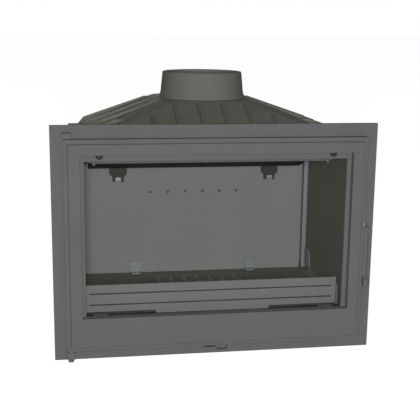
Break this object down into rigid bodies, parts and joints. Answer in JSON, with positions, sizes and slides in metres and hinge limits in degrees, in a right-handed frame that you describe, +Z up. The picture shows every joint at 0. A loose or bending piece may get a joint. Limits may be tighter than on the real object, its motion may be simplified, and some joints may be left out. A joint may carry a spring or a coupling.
{
  "type": "fireplace insert",
  "caption": "Cast iron fireplace insert: flat facade, wide glazed door hinged at the left, lined firebox with hearth and log retainer, ribbed hood and round flue collar.",
  "frame": {"origin": "centre of the base's underside, on the casing's width and on the depth from the facade's back face to the rear ribs", "axes": "+X to the right as seen from the front, +Y from the front to the back, +Z up; the door faces -Y"},
  "size_m": [0.7, 0.441, 0.6037],
  "materials": {
    "cast_iron_face": "matt grey stove paint over fine sand-cast texture",
    "cast_iron_body": "matt olive-grey stove paint over sand-cast texture",
    "zinc_steel": "zinc-plated sheet, satin",
    "plain_steel": "blackened steel, satin",
    "ceramic_glass": "clear heat-resistant glass ceramic, polished",
    "seal_rope": "braided glass-fibre rope, matt"
  },
  "bodies": {
    "casing": {"facade": "cast_iron_face", "upper_hinge_bracket": "cast_iron_face", "lower_hinge_bracket": "cast_iron_face", "upper_hinge_pin": "plain_steel", "lower_hinge_pin": "plain_steel", "hinge_washer": "zinc_steel", "upper_hinge_nut": "plain_steel", "lower_hinge_nut": "plain_steel", "base": "cast_iron_body", "left_side": "cast_iron_body", "right_side": "cast_iron_body", "back_wall": "cast_iron_body", "facade_bolt_lower_left": "plain_steel", "facade_bolt_upper_left": "plain_steel", "facade_bolt_lower_right": "plain_steel", "facade_bolt_upper_right": "plain_steel", "hood_top": "cast_iron_body", "hood_left": "cast_iron_body", "hood_right": "cast_iron_body", "hood_front": "cast_iron_body", "hood_rear": "cast_iron_body", "hood_bolt_front_left": "plain_steel", "hood_bolt_rear_left": "plain_steel", "hood_bolt_front_right": "plain_steel", "hood_bolt_rear_right": "plain_steel", "flue_collar": "cast_iron_body", "hearth_plate": "cast_iron_body", "ash_pan": "plain_steel", "fireback": "cast_iron_face", "baffle_peg_left": "zinc_steel", "baffle_peg_right": "zinc_steel", "fireback_clip_left": "zinc_steel", "fireback_clip_right": "zinc_steel", "left_side_liner": "cast_iron_body", "right_side_liner": "cast_iron_body", "corner_post_left": "zinc_steel", "corner_post_right": "zinc_steel", "corner_clip_left": "zinc_steel", "corner_clip_right": "zinc_steel", "retainer_stand_left": "cast_iron_body", "retainer_stand_right": "cast_iron_body", "airwash_deflector": "cast_iron_body"},
    "door": {"door_frame": "cast_iron_face", "door_seal": "seal_rope", "door_glass": "ceramic_glass", "glass_gasket": "seal_rope", "glass_clip_upper_left": "plain_steel", "glass_clip_lower_left": "plain_steel", "glass_clip_upper_right": "plain_steel", "glass_clip_lower_right": "plain_steel", "glass_screw_upper_left": "plain_steel", "glass_screw_lower_left": "plain_steel", "glass_screw_upper_right": "plain_steel", "glass_screw_lower_right": "plain_steel", "handle_pin": "zinc_steel"},
    "handle": {"door_handle": "cast_iron_face"},
    "air_control": {"air_slider": "cast_iron_face"},
    "grate": {"grate": "cast_iron_body"},
    "baffle": {"baffle": "cast_iron_body"},
    "log_retainer": {"log_retainer": "cast_iron_face"}
  },
  "joints": [
    {"name": "door_hinge", "type": "hinge", "parent": "casing", "child": "door", "pos_m": [-0.3155, -0.22, 0.25], "axis": [0, 0, -1], "range_deg": [0, 92]},
    {"name": "handle_lift", "type": "hinge", "parent": "door", "child": "handle", "pos_m": [0.33, -0.224, 0.27], "axis": [-1, 0, 0], "range_deg": [0, 40]},
    {"name": "air_slide", "type": "slide", "parent": "casing", "child": "air_control", "axis": [1, 0, 0], "range_m": [0, 0.021]},
    {"name": "grate_lift", "type": "slide", "parent": "casing", "child": "grate", "axis": [0, 0, 1], "range_m": [0, 0.1]},
    {"name": "baffle_lift", "type": "slide", "parent": "casing", "child": "baffle", "axis": [0, 0, 1], "range_m": [0, 0.025]},
    {"name": "log_retainer_lift", "type": "slide", "parent": "casing", "child": "log_retainer", "axis": [0, 0, 1], "range_m": [0, 0.07]}
  ]
}
